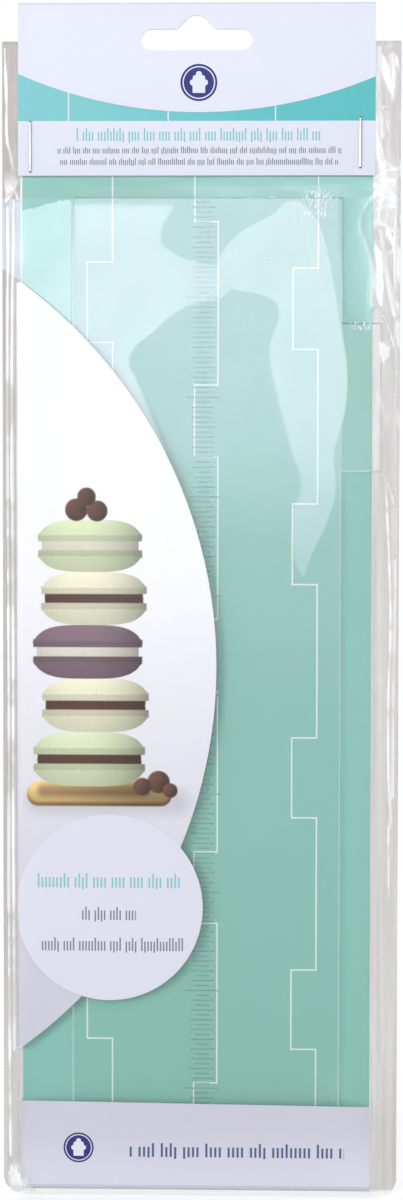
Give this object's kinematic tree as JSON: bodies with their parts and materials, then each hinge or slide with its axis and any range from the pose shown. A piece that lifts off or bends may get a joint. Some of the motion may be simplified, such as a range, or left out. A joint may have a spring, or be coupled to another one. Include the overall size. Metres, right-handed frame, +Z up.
{
  "type": "packed icing smoother",
  "caption": "Tall clear cake side scraper with one tab on each long edge and a ruler, in a folded card wallet and a clear bag closed by a stapled header card with a hang slot.",
  "frame": {"origin": "where a peg carries the pack: top of the hang slot's centre hump, level with the wallet's back face", "axes": "+Z up along the pack, +X to the right seen from the front, -Y out of the pack's front"},
  "size_m": [0.1016, 0.0061, 0.3065],
  "materials": {
    "clear_plate": "clear moulded plastic, polished",
    "wallet_card": "mint print, gloss varnish",
    "flap_card": "white print, gloss varnish",
    "header_board": "white print with a mint band, gloss varnish",
    "staple_wire": "bright wire",
    "clear_film": "clear crinkled film"
  },
  "bodies": {
    "pack": {"header_card": "header_board", "wallet_back": "wallet_card", "bag_front": "clear_film", "bag_back": "clear_film", "staple_left": "staple_wire", "staple_right": "staple_wire"},
    "plate": {"smoother": "clear_plate"},
    "side_flap": {"wallet_side_flap": "flap_card"},
    "bottom_flap": {"wallet_bottom_flap": "flap_card"}
  },
  "joints": [
    {"name": "plate_slide", "type": "slide", "parent": "pack", "child": "plate", "axis": [0, 0, 1], "range_m": [0, 0.003]},
    {"name": "side_flap_crease", "type": "hinge", "parent": "pack", "child": "side_flap", "pos_m": [-0.0445, -0.003, -0.166], "axis": [0, 0, -1], "range_deg": [0, 2]},
    {"name": "bottom_flap_crease", "type": "hinge", "parent": "pack", "child": "bottom_flap", "pos_m": [0, -0.003, -0.2999], "axis": [1, 0, 0], "range_deg": [0, 4.5]}
  ]
}
